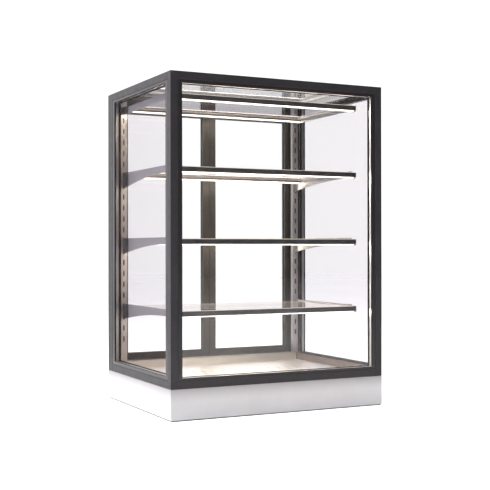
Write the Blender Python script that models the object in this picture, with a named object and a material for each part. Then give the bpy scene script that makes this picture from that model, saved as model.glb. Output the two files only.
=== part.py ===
"""Countertop bakery display case: a black frame of square tube glazed on four sides with
double-pane units, two hinged glass doors at the rear, a light canopy and three glass shelves
hooked on slotted uprights, and a white plinth that holds the fan and the lamp supply.

Metres, +Z up, +X to the right as the customer sees it, +Y towards the rear doors.
The origin is the centre of the plinth's footprint on the counter.
"""

import math

import bmesh
import bpy
from mathutils import Matrix, Vector

# Overall size
WIDTH = 0.640
DEPTH = 0.485
HEIGHT = 0.894
PLINTH_HEIGHT = 0.082
HALF_W = WIDTH / 2
HALF_D = DEPTH / 2
GAP = 0.0003                      # clearance between pieces that touch

# Black frame
TUBE = 0.020                      # side of the square tube
TUBE_WALL = 0.0016
FRAME_BOTTOM = PLINTH_HEIGHT + GAP
REAR_POST_DEPTH = 0.0381          # outer leg of the L-shaped rear posts
REAR_POST_WIDTH = 0.032           # rear leg of the same posts
SILL_TOP = 0.1084                 # rear rails, below and above the doors
HEADER_BOTTOM = 0.864
TUBE_IN_X = HALF_W - TUBE         # inner faces of the tubes
TUBE_IN_Y = HALF_D - TUBE
REAR_POST_FRONT = HALF_D - REAR_POST_DEPTH
OPENING_HALF_W = HALF_W - REAR_POST_WIDTH

# Double glazing, measured inwards from the frame's outer face
RECESS = 0.0005
PANE = 0.004
SPACER = 0.0108
UNIT_DEPTH = RECESS + 2 * PANE + SPACER + 2 * GAP
FRONT_SIGHT = (0.2875, 0.1095, 0.8645)            # half width, bottom and top of the clear view
SIDE_SIGHT = (-0.2065, 0.1884, 0.113, 0.8665)     # front, rear, bottom and top of it
TOP_SIGHT = 0.012                                 # width of the ceiling unit's spacer

# Deck tray and its slotted panel
SHEET = 0.0015
TRAY_FLOOR = 0.088
TRAY_RIM = 0.109
TRAY_WALL_X = 0.288
TRAY_WALL_FRONT = 0.212
TRAY_WALL_REAR = 0.190
TRAY_FLANGE = 0.2977
TRAY_HOLE = (0.245, -0.165, 0.060)
VENT_PANEL = (0.268, -0.196, 0.140)
VENT_COLUMNS = 16
VENT_PITCH = 0.030
VENT_ROWS = (0.020, -0.030, -0.080, -0.130)
VENT_SLOT = (0.005, 0.038)

# Slotted uprights and shelf hooks
UPRIGHT_X = 0.288                 # line of the slots
UPRIGHT_FACE = 0.196
UPRIGHT_IN = 0.278
UPRIGHT_OUT = 0.2975
UPRIGHT_LEG = 0.208
SLOT_PITCH = 0.032
SLOT_COUNT = 22
SLOT_TOP = 0.848                  # centre of the highest slot
SLOT_SIZE = (0.0045, 0.017)
HOOK_RISE = 0.0074                # neck's underside below the slot's centre
HOOK_NECK_TOP = 0.0032
HOOK_TIP = 0.0130
HOOK_THICKNESS = 0.0037

# Shelves: tops of the front profiles, one every six slots
SHELF_TOPS = {"shelf_1": 0.274, "shelf_2": 0.466, "shelf_3": 0.658, "canopy": 0.850}
SHELF_HALF_W = 0.288
SHELF_FRONT = -0.158
PROFILE_DEPTH = 0.014
PROFILE_HEIGHT = 0.0135
PROFILE_WALL = 0.0018
SHELF_GLASS = 0.006
GLASS_PROUD = 0.0015              # the glass stands above its front profile
GLASS_HALF_W = 0.2808
GLASS_REAR = 0.160
BRACKET = 0.003                   # thickness of the arm and of its hooks
ARM_IN = 0.2812                   # the arm is set inwards from the hooks
HOOK_BLOCK_FRONT = 0.170
BRACKET_RISE = 0.0035             # the arm stands above the glass as its side stop
BRACKET_FRONT = 0.0145            # arm heights below the glass's top
BRACKET_REAR = {"shelf": 0.040, "canopy": 0.017}
BRACKET_CURVE = 2.1
HOOK_BLOCK_DROP = {"shelf": 0.0432, "canopy": 0.017}
HOOK_COUNT = {"shelf": 2, "canopy": 1}
CURVE_STEPS = 12
LEDGE = 0.010
REAR_BAR_FRONT = 0.147
REAR_BAR = (0.012, 0.0067)        # depth and height

# Rear doors
DOOR_EDGE = 0.2855
DOOR_MEETING = 0.0008
DOOR_BOTTOM = 0.1104
DOOR_TOP = 0.862
DOOR_FRONT = 0.224
DOOR_STILE = 0.0205
DOOR_GLASS = 0.005
DOOR_GLASS_FRONT = 0.2302
GROOVE_DEPTH = 0.006
PIVOT = (0.2805, 0.2375)
ROD_RADIUS = 0.003
FINGER_PULL = (0.0115, 0.008, 0.120)              # width, depth and height of the edge pull

# Power entry with its switch, in the plinth's rear wall
INLET = (0.200, 0.041)
INLET_FLANGE = (0.028, 0.050, 0.0022)
INLET_BODY = (0.024, 0.045, 0.028)
SOCKET = (0.019, 0.015, 0.016)
SOCKET_Z = -0.0115
SWITCH_POCKET = (0.0196, 0.0156, 0.016)
SWITCH_Z = 0.0115
ROCKER_PIVOT_Y = 0.2380
ROCKER_HALF = (0.0090, 0.0066)
ROCKER_TILT = math.radians(8)

# Fan below the slotted panel
FAN_CENTRE = (0.0, -0.055)
FAN_TOP = TRAY_FLOOR
FAN_SIZE = (0.120, 0.025)
FAN_BORE = 0.057
FAN_HUB = 0.019
FAN_BLADES = 7
FAN_STRUT = 0.004
ROUND = 32                        # sides of the fan's round shapes

DRIVER = (0.060, 0.210, 0.130, 0.180, 0.030)      # lamp supply: x and y ranges, height


# --- building helpers ---------------------------------------------------------------------

def clear_scene():
    for thing in list(bpy.data.objects):
        bpy.data.objects.remove(thing, do_unlink=True)


def material(name, colour, roughness, metallic=0.0, alpha=1.0):
    made = bpy.data.materials.new(name)
    made.use_nodes = True
    shader = made.node_tree.nodes["Principled BSDF"]
    shader.inputs["Base Color"].default_value = (*colour, 1.0)
    shader.inputs["Roughness"].default_value = roughness
    shader.inputs["Metallic"].default_value = metallic
    shader.inputs["Alpha"].default_value = alpha
    made.diffuse_color = (*colour, alpha)
    return made


def rectangle(u0, u1, v0, v1):
    return [(u0, v0), (u1, v0), (u1, v1), (u0, v1)]


def circle(centre, radius, count=ROUND):
    turns = [2 * math.pi * (k + 0.5) / count for k in range(count)]
    return [(centre[0] + radius * math.cos(t), centre[1] + radius * math.sin(t)) for t in turns]


def square_round(centre, half, count=ROUND):
    """A square outline with as many points as a circle, at the same angles."""
    points = []
    for u, v in circle((0, 0), 1.0, count):
        reach = half / max(abs(u), abs(v))
        points.append((centre[0] + u * reach, centre[1] + v * reach))
    return points


def slot_outline(centre, width, length, steps=4):
    """A slot along v with round ends."""
    radius = width / 2
    points = []
    for end in (1, -1):
        for k in range(steps + 1):
            turn = math.pi * k / steps
            points.append((centre[0] + end * radius * math.cos(turn),
                           centre[1] + end * (length / 2 - radius + radius * math.sin(turn))))
    return points


def at(outline, axis, level):
    """Outline points placed at a level along X, Y or Z."""
    if axis == "X":
        return [(level, u, v) for u, v in outline]
    if axis == "Y":
        return [(u, level, v) for u, v in outline]
    return [(u, v, level) for u, v in outline]


def loft(mesh, loops, ring=False):
    """Skin between loops of equal length; the ends are capped unless the loops form a ring."""
    rows = [[mesh.verts.new(point) for point in loop] for loop in loops]
    pairs = list(zip(rows, rows[1:]))
    if ring:
        pairs.append((rows[-1], rows[0]))
    for low, high in pairs:
        for k in range(len(low)):
            mesh.faces.new((low[k - 1], low[k], high[k], high[k - 1]))
    if not ring:
        mesh.faces.new(rows[0])
        mesh.faces.new(rows[-1])


def finish(name, mesh, skin, smooth=False):
    bmesh.ops.recalc_face_normals(mesh, faces=mesh.faces)
    data = bpy.data.meshes.new(name)
    mesh.to_mesh(data)
    mesh.free()
    if skin:
        data.materials.append(skin)
    made = bpy.data.objects.new(name, data)
    bpy.context.collection.objects.link(made)
    if smooth:
        data.shade_smooth()
        data.set_sharp_from_angle(angle=math.radians(40))
    return made


def solid(name, skin, loops, ring=False, smooth=False):
    mesh = bmesh.new()
    loft(mesh, loops, ring)
    return finish(name, mesh, skin, smooth)


def box(name, skin, x0, x1, y0, y1, z0, z1):
    outline = rectangle(x0, x1, y0, y1)
    return solid(name, skin, [at(outline, "Z", z0), at(outline, "Z", z1)])


def prism(name, skin, outline, axis, start, end, smooth=False):
    return solid(name, skin, [at(outline, axis, start), at(outline, axis, end)], smooth=smooth)


def tube(name, skin, outer, inner, axis, start, end, smooth=False):
    """A section between two outlines, open at both ends."""
    loops = [at(outer, axis, start), at(outer, axis, end), at(inner, axis, end), at(inner, axis, start)]
    return solid(name, skin, loops, ring=True, smooth=smooth)


def capped_tube(name, skin, outer, inner, bottom, top, cap):
    """An upright hollow section, open below and closed by a cap at the top."""
    loops = [at(inner, "Z", top - cap), at(inner, "Z", bottom), at(outer, "Z", bottom), at(outer, "Z", top)]
    return solid(name, skin, loops)


def boolean(target, tool, operation):
    step = target.modifiers.new(operation.lower(), "BOOLEAN")
    step.operation = operation
    step.solver = "EXACT"
    step.object = tool
    tool.hide_render = True
    tool.display_type = "WIRE"


def cut(target, tool):
    boolean(target, tool, "DIFFERENCE")


def fuse(target, tool):
    boolean(target, tool, "UNION")


def axis_empty(name, place):
    made = bpy.data.objects.new(name, None)
    made.location = place
    made.empty_display_size = 0.03
    bpy.context.collection.objects.link(made)
    return made


def attach(axis, pieces):
    for piece in pieces:
        piece.parent = axis
        piece.matrix_parent_inverse = Matrix.Translation(-Vector(axis.location))


# --- frame --------------------------------------------------------------------------------

def build_posts(skin):
    wall = TUBE_WALL
    for side, sign in (("left", -1), ("right", 1)):
        outer = rectangle(sign * TUBE_IN_X, sign * HALF_W, -HALF_D, -TUBE_IN_Y)
        inner = rectangle(sign * (TUBE_IN_X + wall), sign * (HALF_W - wall),
                          -HALF_D + wall, -TUBE_IN_Y - wall)
        capped_tube(f"front_{side}_post", skin, outer, inner, FRAME_BOTTOM, HEIGHT, wall)
        outer = corner_outline(sign, 0)
        inner = corner_outline(sign, wall)
        capped_tube(f"rear_{side}_post", skin, outer, inner, FRAME_BOTTOM, HEIGHT, wall)


def corner_outline(sign, inset):
    """The L-shaped section of a rear post, or its hollow when inset by the wall."""
    x_out = sign * (HALF_W - inset)
    x_leg = sign * (TUBE_IN_X + inset)
    x_end = sign * (OPENING_HALF_W + inset)
    return [(x_leg, REAR_POST_FRONT + inset), (x_out, REAR_POST_FRONT + inset),
            (x_out, HALF_D - inset), (x_end, HALF_D - inset),
            (x_end, TUBE_IN_Y + inset), (x_leg, TUBE_IN_Y + inset)]


def rail(name, skin, axis, u_range, v_range, start, end):
    outer = rectangle(*u_range, *v_range)
    wall = TUBE_WALL
    inner = rectangle(u_range[0] + wall, u_range[1] - wall, v_range[0] + wall, v_range[1] - wall)
    tube(name, skin, outer, inner, axis, start, end)


def build_rails(skin):
    levels = {"bottom": (FRAME_BOTTOM, FRAME_BOTTOM + TUBE), "top": (HEIGHT - TUBE, HEIGHT)}
    rear_levels = {"bottom": (FRAME_BOTTOM, SILL_TOP), "top": (HEADER_BOTTOM, HEIGHT)}
    for level, span in levels.items():
        front_end = TUBE_IN_X - GAP
        rail(f"{level}_front_rail", skin, "X", (-HALF_D, -TUBE_IN_Y), span, -front_end, front_end)
        rear_end = OPENING_HALF_W - GAP
        rail(f"{level}_rear_rail", skin, "X", (TUBE_IN_Y, HALF_D), rear_levels[level],
             -rear_end, rear_end)
        side_ends = (-TUBE_IN_Y + GAP, REAR_POST_FRONT - GAP)
        rail(f"{level}_left_rail", skin, "Y", (-HALF_W, -TUBE_IN_X), span, *side_ends)
        rail(f"{level}_right_rail", skin, "Y", (TUBE_IN_X, HALF_W), span, *side_ends)


# --- glazing ------------------------------------------------------------------------------

def glazing_unit(name, glass, metal, axis, face, inwards, pane, sight):
    """Outer pane, spacer frame and inner pane, stacked inwards from an outer face."""
    depth = RECESS
    layers = (("outer_glass", PANE, glass), ("glass_spacer", SPACER, metal), ("inner_glass", PANE, glass))
    for layer, thickness, skin in layers:
        start = face + inwards * depth
        end = face + inwards * (depth + thickness)
        if layer == "glass_spacer":
            tube(f"{name}_{layer}", skin, rectangle(*pane), rectangle(*sight), axis, start, end)
        else:
            prism(f"{name}_{layer}", skin, rectangle(*pane), axis, start, end)
        depth += thickness + GAP


def build_glazing(glass, metal):
    bottom = FRAME_BOTTOM + TUBE + GAP
    top = HEIGHT - TUBE - GAP
    half, low, high = FRONT_SIGHT
    pane = (-TUBE_IN_X + GAP, TUBE_IN_X - GAP, bottom, top)
    glazing_unit("front", glass, metal, "Y", -HALF_D, 1, pane, (-half, half, low, high))
    front, rear, low, high = SIDE_SIGHT
    pane = (-TUBE_IN_Y + GAP, REAR_POST_FRONT - GAP, bottom, top)
    glazing_unit("left", glass, metal, "X", -HALF_W, 1, pane, (front, rear, low, high))
    glazing_unit("right", glass, metal, "X", HALF_W, -1, pane, (front, rear, low, high))
    x_end = TUBE_IN_X - GAP
    y_end = TUBE_IN_Y - GAP
    sight = (-x_end + TOP_SIGHT, x_end - TOP_SIGHT, -y_end + TOP_SIGHT, y_end - TOP_SIGHT)
    glazing_unit("top", glass, metal, "Z", HEIGHT, -1, (-x_end, x_end, -y_end, y_end), sight)


# --- plinth, deck and machinery -----------------------------------------------------------

def build_plinth(skin):
    """A folded shell: closed floor, four walls and a flange that the frame stands on."""
    step = 0.004
    flange_x = HALF_W - TUBE + 0.002
    flange_y = HALF_D - TUBE + 0.002
    floor_top = 0.002

    def level(x, y, z):
        return at(rectangle(-x, x, -y, y), "Z", z)

    loops = [
        level(HALF_W - step - SHEET, HALF_D - step - SHEET, floor_top),
        level(HALF_W - SHEET, HALF_D - SHEET, step),
        level(HALF_W - SHEET, HALF_D - SHEET, PLINTH_HEIGHT - SHEET),
        level(flange_x, flange_y, PLINTH_HEIGHT - SHEET),
        level(flange_x, flange_y, PLINTH_HEIGHT),
        level(HALF_W, HALF_D, PLINTH_HEIGHT),
        level(HALF_W, HALF_D, step),
        level(HALF_W - step, HALF_D - step, 0.0),
    ]
    shell = solid("plinth_shell", skin, loops)
    cutter = bmesh.new()
    x, z = INLET
    half_w, half_h = INLET_BODY[0] / 2 + GAP, INLET_BODY[1] / 2 + GAP
    hole = rectangle(x - half_w, x + half_w, z - half_h, z + half_h)
    rear_wall = (HALF_D - 2 * SHEET, HALF_D + SHEET)
    loft(cutter, [at(hole, "Y", y) for y in rear_wall])
    for k in range(12):
        louvre = slot_outline((-0.220 + 0.012 * k, z), 0.005, 0.036)
        loft(cutter, [at(louvre, "Y", y) for y in rear_wall])
    cut(shell, finish("plinth_cutouts", cutter, None))


def build_tray(skin):
    """The stainless deck: a floor with a large hole, raised walls and a flange round the top."""
    hole_x, hole_front, hole_rear = TRAY_HOLE
    flange_y = TUBE_IN_Y - 0.0008

    def level(x, front, rear, z):
        return at(rectangle(-x, x, front, rear), "Z", z)

    wall = (TRAY_WALL_X, -TRAY_WALL_FRONT, TRAY_WALL_REAR)
    outer = (TRAY_WALL_X + SHEET, -TRAY_WALL_FRONT - SHEET, TRAY_WALL_REAR + SHEET)
    flange = (TRAY_FLANGE, -flange_y, flange_y)
    loops = [
        level(hole_x, hole_front, hole_rear, TRAY_FLOOR),
        level(*wall, TRAY_FLOOR),
        level(*wall, TRAY_RIM),
        level(*flange, TRAY_RIM),
        level(*flange, TRAY_RIM - SHEET),
        level(*outer, TRAY_RIM - SHEET),
        level(*outer, TRAY_FLOOR - SHEET),
        level(hole_x, hole_front, hole_rear, TRAY_FLOOR - SHEET),
    ]
    solid("deck_tray", skin, loops, ring=True)


def build_vent_panel(skin):
    half, front, rear = VENT_PANEL
    bottom = TRAY_FLOOR + GAP
    panel = box("vent_panel", skin, -half, half, front, rear, bottom, bottom + SHEET)
    cutter = bmesh.new()
    width, length = VENT_SLOT
    for row, y in enumerate(VENT_ROWS):
        stagger = VENT_PITCH / 4 * (1 if row % 2 else -1)
        for column in range(VENT_COLUMNS):
            x = (column - (VENT_COLUMNS - 1) / 2) * VENT_PITCH + stagger
            outline = rectangle(x - width / 2, x + width / 2, y - length / 2, y + length / 2)
            loft(cutter, [at(outline, "Z", bottom - SHEET), at(outline, "Z", bottom + 2 * SHEET)])
    cut(panel, finish("vent_slots", cutter, None))


def build_fan(housing_skin, rotor_skin):
    x, y = FAN_CENTRE
    side, height = FAN_SIZE
    bottom = FAN_TOP - height
    square = square_round(FAN_CENTRE, side / 2)
    housing = tube("fan_housing", housing_skin, square, circle(FAN_CENTRE, FAN_BORE), "Z",
                   bottom, FAN_TOP)
    reach = FAN_BORE + 0.001
    half = FAN_STRUT / 2
    for name, dx, dy in (("strut_x", reach, half), ("strut_y", half, reach)):
        fuse(housing, box(name, None, x - dx, x + dx, y - dy, y + dy, bottom, bottom + FAN_STRUT))
    motor_top = bottom + FAN_STRUT + 0.001
    fuse(housing, prism("motor_plate", None, circle(FAN_CENTRE, FAN_HUB), "Z", bottom, motor_top))

    hub_bottom = motor_top + 0.0005
    rotor = prism("fan_rotor", rotor_skin, circle(FAN_CENTRE, FAN_HUB), "Z", hub_bottom,
                  FAN_TOP - 0.002, smooth=True)
    for k in range(FAN_BLADES):
        turn = 2 * math.pi * k / FAN_BLADES
        fuse(rotor, solid(f"fan_blade_{k}", None, blade_loops(turn, hub_bottom + 0.002, FAN_TOP - 0.004)))
    attach(axis_empty("fan_axis", (x, y, bottom)), [rotor])


def blade_loops(turn, low, high):
    """Sections of one pitched blade, from inside the hub to just short of the bore."""
    loops = []
    thickness = 0.0016
    for radius, sweep in ((FAN_HUB - 0.003, 0.34), (FAN_BORE - 0.002, 0.22)):
        corners = []
        for angle, z in ((-sweep, low), (-sweep, low + thickness), (sweep, high), (sweep, high - thickness)):
            corners.append((FAN_CENTRE[0] + radius * math.cos(turn + angle),
                            FAN_CENTRE[1] + radius * math.sin(turn + angle), z))
        loops.append(corners)
    return loops


def build_driver(skin):
    x0, x1, y0, y1, height = DRIVER
    bottom = 0.002 + GAP
    foot = 0.003
    ear = 0.012
    outline = [(x0, bottom), (x1, bottom), (x1, bottom + foot), (x1 - ear, bottom + foot),
               (x1 - ear, bottom + height), (x0 + ear, bottom + height),
               (x0 + ear, bottom + foot), (x0, bottom + foot)]
    prism("led_driver", skin, outline, "Y", y0, y1)


def build_power_entry(body_skin, rocker_skin):
    x, z = INLET
    wall_face = HALF_D + GAP
    width, height, depth = INLET_FLANGE
    inlet = box("power_inlet", body_skin, x - width / 2, x + width / 2, wall_face, wall_face + depth,
                z - height / 2, z + height / 2)
    width, height, depth = INLET_BODY
    fuse(inlet, box("inlet_body", None, x - width / 2, x + width / 2, HALF_D - depth,
                    wall_face + SHEET, z - height / 2, z + height / 2))
    outside = wall_face + 2 * INLET_FLANGE[2]
    for name, (width, height, depth), lift in (("socket_pocket", SOCKET, SOCKET_Z),
                                               ("switch_pocket", SWITCH_POCKET, SWITCH_Z)):
        centre = z + lift
        cut(inlet, box(name, None, x - width / 2, x + width / 2, HALF_D - depth, outside,
                       centre - height / 2, centre + height / 2))

    centre = z + SWITCH_Z
    half_w, half_h = ROCKER_HALF
    outline = []
    for y, up in ((-0.0035, -0.6), (0.0060, -1), (0.0046, 0), (0.0060, 1), (-0.0035, 0.6)):
        v = up * half_h
        outline.append((ROCKER_PIVOT_Y + y * math.cos(ROCKER_TILT) - v * math.sin(ROCKER_TILT),
                        centre + y * math.sin(ROCKER_TILT) + v * math.cos(ROCKER_TILT)))
    rocker = prism("rocker_switch", rocker_skin, outline, "X", x - half_w, x + half_w)
    attach(axis_empty("rocker_axis", (x, ROCKER_PIVOT_Y, centre)), [rocker])


# --- uprights and shelves -----------------------------------------------------------------

def build_uprights(skin):
    """Channels with a row of slots in the face; the outer leg reaches back to the rear post."""
    back = TUBE_IN_Y - GAP
    face = UPRIGHT_FACE
    sheet = SHEET
    outline = [(UPRIGHT_IN, UPRIGHT_LEG), (UPRIGHT_IN, face), (UPRIGHT_OUT, face), (UPRIGHT_OUT, back),
               (UPRIGHT_OUT - sheet, back), (UPRIGHT_OUT - sheet, face + sheet),
               (UPRIGHT_IN + sheet, face + sheet), (UPRIGHT_IN + sheet, UPRIGHT_LEG)]
    top = HEIGHT - UNIT_DEPTH - GAP
    for side, sign in (("left", -1), ("right", 1)):
        mirrored = [(sign * u, v) for u, v in outline]
        upright = prism(f"{side}_upright", skin, mirrored, "Z", TRAY_RIM + GAP, top)
        cutter = bmesh.new()
        for k in range(SLOT_COUNT):
            hole = slot_outline((sign * UPRIGHT_X, SLOT_TOP - k * SLOT_PITCH), *SLOT_SIZE)
            loft(cutter, [at(hole, "Y", face - sheet), at(hole, "Y", face + 2 * sheet)])
        cut(upright, finish(f"{side}_slots", cutter, None))


def bracket_drop(kind, y):
    """Height of a bracket below the glass's top, from the front profile back to the hooks."""
    front = SHELF_FRONT + PROFILE_DEPTH + GAP
    share = (y - front) / (UPRIGHT_FACE - GAP - front)
    return BRACKET_FRONT + (BRACKET_REAR[kind] - BRACKET_FRONT) * share ** BRACKET_CURVE


def arm_outline(kind, glass_top, start, end):
    """Side view of a stretch of bracket: straight top and curved underside."""
    top = glass_top + BRACKET_RISE
    outline = [(end, top), (start, top)]
    for k in range(CURVE_STEPS + 1):
        y = start + (end - start) * k / CURVE_STEPS
        outline.append((y, glass_top - bracket_drop(kind, y)))
    return outline


def hook_outline(kind, glass_top, slot):
    """Side view of the rear end of a bracket: a short plate with its hooks, one slot apart."""
    front = (HOOK_BLOCK_FRONT + UPRIGHT_FACE) / 2
    rear = UPRIGHT_FACE - GAP
    inside = UPRIGHT_FACE + SHEET + GAP
    back = inside + HOOK_THICKNESS
    top = glass_top + BRACKET_RISE
    outline = [(rear, top), (front, top), (front, glass_top - bracket_drop(kind, front)),
               (rear, glass_top - HOOK_BLOCK_DROP[kind])]
    for k in reversed(range(HOOK_COUNT[kind])):
        centre = slot - k * SLOT_PITCH
        outline += [(rear, centre - HOOK_RISE), (inside, centre - HOOK_RISE),
                    (inside, centre - HOOK_TIP), (back, centre - HOOK_TIP),
                    (back, centre - HOOK_NECK_TOP), (rear, centre - HOOK_NECK_TOP)]
    return outline


def build_bracket(name, kind, sign, skin, glass_top, slot, ledge_rear, ledge_top):
    """Arm, hook block, hooks and the ledge that the glass rests on, as one piece."""
    arm_front = SHELF_FRONT + PROFILE_DEPTH + GAP
    arm_in = sign * ARM_IN
    arm_out = sign * (ARM_IN + BRACKET)
    hook_in = sign * (UPRIGHT_X - BRACKET / 2)
    hook_out = sign * (UPRIGHT_X + BRACKET / 2)
    rear = UPRIGHT_FACE - GAP
    bracket = prism(name, skin, arm_outline(kind, glass_top, arm_front, rear), "X", arm_in, arm_out)
    block = arm_outline(kind, glass_top, HOOK_BLOCK_FRONT, rear)
    fuse(bracket, prism(f"{name}_block", None, block, "X", arm_in, hook_out))
    hooks = hook_outline(kind, glass_top, slot)
    fuse(bracket, prism(f"{name}_hooks", None, hooks, "X", hook_in, hook_out))
    ledge_ends = (arm_in - sign * LEDGE, arm_in + sign * BRACKET / 2)
    fuse(bracket, box(f"{name}_ledge", None, *ledge_ends, arm_front, ledge_rear,
                      ledge_top - SHEET, ledge_top))
    return bracket


def build_shelf(name, top, black, glass, grey, metal):
    """One level: glass in a channel at the front and on a bar at the rear, with a bracket each side."""
    glass_top = top + GLASS_PROUD
    glass_bottom = glass_top - SHELF_GLASS
    seat = glass_bottom - GAP
    slot = SLOT_TOP - round((SLOT_TOP - top) / SLOT_PITCH) * SLOT_PITCH
    front, rear = SHELF_FRONT, SHELF_FRONT + PROFILE_DEPTH
    wall, bottom = PROFILE_WALL, top - PROFILE_HEIGHT
    channel = [(front, bottom), (rear, bottom), (rear, seat), (rear - wall, seat),
               (rear - wall, bottom + wall), (front + wall, bottom + wall), (front + wall, top),
               (front, top)]
    profile = prism(f"{name}_front_profile", black, channel, "X", -SHELF_HALF_W, SHELF_HALF_W)
    plate = box(f"{name}_glass", glass, -GLASS_HALF_W, GLASS_HALF_W, front + wall + 2 * GAP,
                GLASS_REAR, glass_bottom, glass_top)
    bar_depth, bar_height = REAR_BAR
    bar_rear = REAR_BAR_FRONT + bar_depth
    outer = rectangle(REAR_BAR_FRONT, bar_rear, seat - bar_height, seat)
    inner = rectangle(REAR_BAR_FRONT + SHEET, bar_rear - SHEET, seat - bar_height + SHEET, seat - SHEET)
    bar_end = ARM_IN - GAP
    bar = tube(f"{name}_rear_crossbar", metal, outer, inner, "X", -bar_end, bar_end)
    pieces = [profile, plate, bar]
    kind = name.split("_")[0]
    for side, sign in (("left", -1), ("right", 1)):
        pieces.append(build_bracket(f"{name}_{side}_bracket", kind, sign, grey, glass_top, slot,
                                    REAR_BAR_FRONT - GAP, seat))
    attach(axis_empty(f"{name}_hooks", (0, UPRIGHT_FACE, slot)), pieces)


# --- doors --------------------------------------------------------------------------------

def build_door(side, sign, frame_skin, glass, metal):
    def level(inset, y):
        return at(rectangle(sign * (DOOR_EDGE - inset), sign * (DOOR_MEETING + inset),
                            DOOR_BOTTOM + inset, DOOR_TOP - inset), "Y", y)

    groove = DOOR_STILE - GROOVE_DEPTH - GAP
    groove_front = DOOR_GLASS_FRONT - GAP
    groove_rear = DOOR_GLASS_FRONT + DOOR_GLASS + GAP
    frame = solid(f"{side}_door_frame", frame_skin, [
        level(0, DOOR_FRONT), level(0, HALF_D), level(DOOR_STILE, HALF_D),
        level(DOOR_STILE, groove_rear), level(groove, groove_rear),
        level(groove, groove_front), level(DOOR_STILE, groove_front), level(DOOR_STILE, DOOR_FRONT)],
        ring=True)
    axis_x, axis_y = sign * PIVOT[0], PIVOT[1]
    bore = circle((axis_x, axis_y), ROD_RADIUS + GAP, 16)
    cut(frame, prism(f"{side}_rod_bore", None, bore, "Z", DOOR_BOTTOM - 0.01, DOOR_TOP + 0.01))
    width, depth, height = FINGER_PULL
    middle = (DOOR_BOTTOM + DOOR_TOP) / 2
    cut(frame, box(f"{side}_finger_pull", None, 0, sign * (DOOR_MEETING + width), HALF_D - depth,
                   HALF_D + 0.01, middle - height / 2, middle + height / 2))
    pane = [level(groove + GAP, DOOR_GLASS_FRONT), level(groove + GAP, DOOR_GLASS_FRONT + DOOR_GLASS)]
    pane = solid(f"{side}_door_glass", glass, pane)
    prism(f"{side}_door_pivot_rod", metal, circle((axis_x, axis_y), ROD_RADIUS, 16), "Z",
          SILL_TOP + GAP, HEADER_BOTTOM - GAP, smooth=True)
    attach(axis_empty(f"{side}_door_axis", (axis_x, axis_y, middle)), [frame, pane])


def main():
    clear_scene()
    black = material("black frame", (0.035, 0.032, 0.035), 0.42)
    brown_black = material("door frame", (0.060, 0.053, 0.050), 0.40)
    glass = material("clear glass", (0.92, 0.93, 0.95), 0.05, alpha=0.2)
    bright = material("bright spacer", (0.86, 0.86, 0.87), 0.30, 1.0)
    steel = material("stainless deck", (0.78, 0.76, 0.72), 0.30, 1.0)
    silver = material("anodised upright", (0.62, 0.58, 0.55), 0.38, 1.0)
    grey = material("grey bracket", (0.48, 0.47, 0.48), 0.45)
    white = material("white plinth", (0.78, 0.77, 0.78), 0.50)
    plastic = material("black plastic", (0.03, 0.03, 0.03), 0.50)
    build_plinth(white)
    build_posts(black)
    build_rails(black)
    build_glazing(glass, bright)
    build_tray(steel)
    build_vent_panel(steel)
    build_fan(plastic, plastic)
    build_driver(silver)
    build_power_entry(plastic, plastic)
    build_uprights(silver)
    for name, top in SHELF_TOPS.items():
        build_shelf(name, top, black, glass, grey, silver)
    build_door("left", -1, brown_black, glass, silver)
    build_door("right", 1, brown_black, glass, silver)


main()
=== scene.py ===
from math import cos, pi, radians, sin

import bmesh
import bpy
from mathutils import Matrix, Vector


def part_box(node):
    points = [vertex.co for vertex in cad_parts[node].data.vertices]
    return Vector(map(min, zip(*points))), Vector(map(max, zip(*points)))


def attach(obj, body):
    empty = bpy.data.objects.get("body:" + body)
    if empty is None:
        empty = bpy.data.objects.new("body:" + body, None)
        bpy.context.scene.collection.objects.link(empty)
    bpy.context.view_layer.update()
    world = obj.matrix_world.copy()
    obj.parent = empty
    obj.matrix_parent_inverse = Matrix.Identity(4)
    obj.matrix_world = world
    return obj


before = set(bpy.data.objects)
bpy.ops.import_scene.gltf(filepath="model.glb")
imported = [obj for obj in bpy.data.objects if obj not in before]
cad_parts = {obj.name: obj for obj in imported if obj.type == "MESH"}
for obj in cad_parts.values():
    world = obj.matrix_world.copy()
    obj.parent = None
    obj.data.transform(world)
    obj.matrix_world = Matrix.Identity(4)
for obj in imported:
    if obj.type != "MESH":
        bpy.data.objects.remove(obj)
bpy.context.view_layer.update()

# ---------------------------------------------------------------- camera
CAMERA_PLACE = (-1.3046, -2.6436, 0.4412)
CAMERA_AZIMUTH = 26.4628      # degrees that the camera's heading turns from +Y towards +X
CAMERA_PITCH = 0.1844
CAMERA_ROLL = -0.0869
CAMERA_LENS, CAMERA_SENSOR = 75.01, 36.0

# ---------------------------------------------------------------- light
BACKDROP = 1.15                         # white that the camera sees behind the object
BRIGHT_SIDE = (-0.45, 0.89, 0.0)        # the surroundings are brightest this way
AMBIENT_DARK, AMBIENT_BRIGHT = 0.10, 1.25
# Each softbox: its place, the point it faces, its width and length, and its power
SOFTBOXES = {
    "key_softbox": ((-3.2, -0.6, 1.7), (0, 0, 0.4), 2.4, 60.0),
    "top_softbox": ((0.0, -0.2, 3.4), (0, 0, 0), 3.6, 110.0),
}
LED_COLOUR = (1.0, 0.84, 0.66)          # the lamps as they light the case
LED_LOOK = (1.0, 0.96, 0.92)            # the lamps as the camera or a mirror sees them
LED_STRENGTH, LED_SEEN = 42.0, 1.4
LED_PITCH = 0.0083
FLOOR_SIZE = 20.0                       # from the middle to an edge
FLOOR_GLOW = 0.45                       # extra light of the floor in front of the camera
FLOOR_FADE = (3.0, 16.0)                # distances at which the floor starts and ends its fade

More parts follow.
